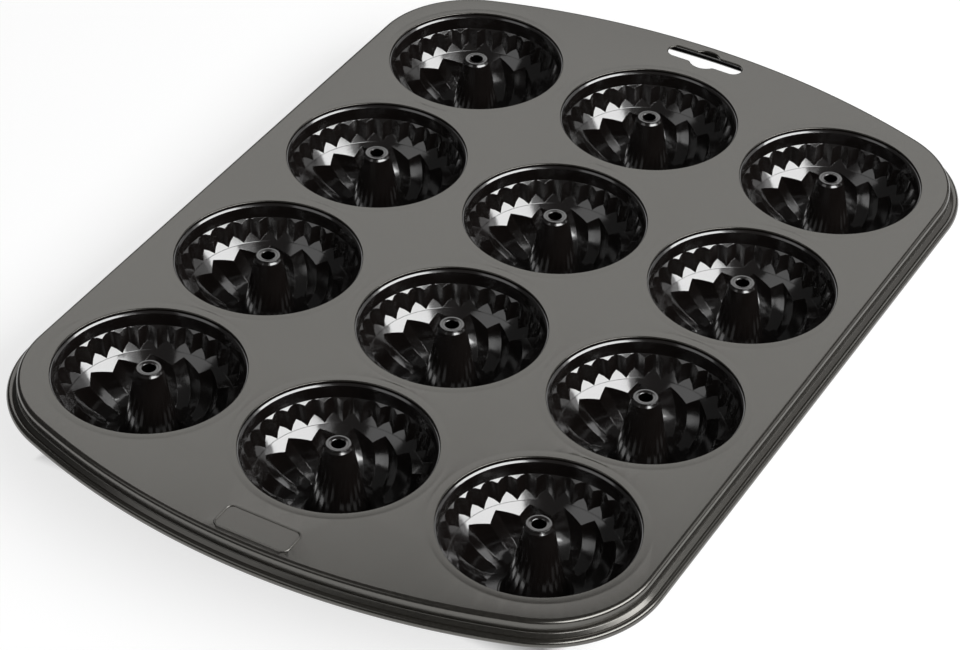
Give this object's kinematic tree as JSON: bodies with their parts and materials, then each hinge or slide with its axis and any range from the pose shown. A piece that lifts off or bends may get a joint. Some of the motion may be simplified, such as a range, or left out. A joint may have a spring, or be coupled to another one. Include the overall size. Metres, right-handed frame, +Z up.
{
  "type": "muffin pan",
  "caption": "Rectangular baking pan with round corners, bowed ends, a rolled rim and a hanging slot, holding a grid of fluted ring-shaped cups with centre tubes.",
  "frame": {"origin": "middle of the pan, on the surface that the cups' floors stand on", "axes": "+X across the pan, +Y along it towards the end with the hanging slot, +Z up"},
  "size_m": [0.2708, 0.382, 0.0343],
  "materials": {
    "tray_coating": "satin dark grey non-stick coating on pressed steel sheet",
    "cup_coating": "gloss black non-stick coating on deep-drawn steel sheet",
    "wire_steel": "plain drawn steel wire"
  },
  "bodies": {
    "root": {"tray": "tray_coating", "rim_wire": "wire_steel", "cup_row1_col1": "cup_coating", "cup_row1_col2": "cup_coating", "cup_row1_col3": "cup_coating", "cup_row2_col1": "cup_coating", "cup_row2_col2": "cup_coating", "cup_row2_col3": "cup_coating", "cup_row3_col1": "cup_coating", "cup_row3_col2": "cup_coating", "cup_row3_col3": "cup_coating", "cup_row4_col1": "cup_coating", "cup_row4_col2": "cup_coating", "cup_row4_col3": "cup_coating"}
  },
  "joints": []
}
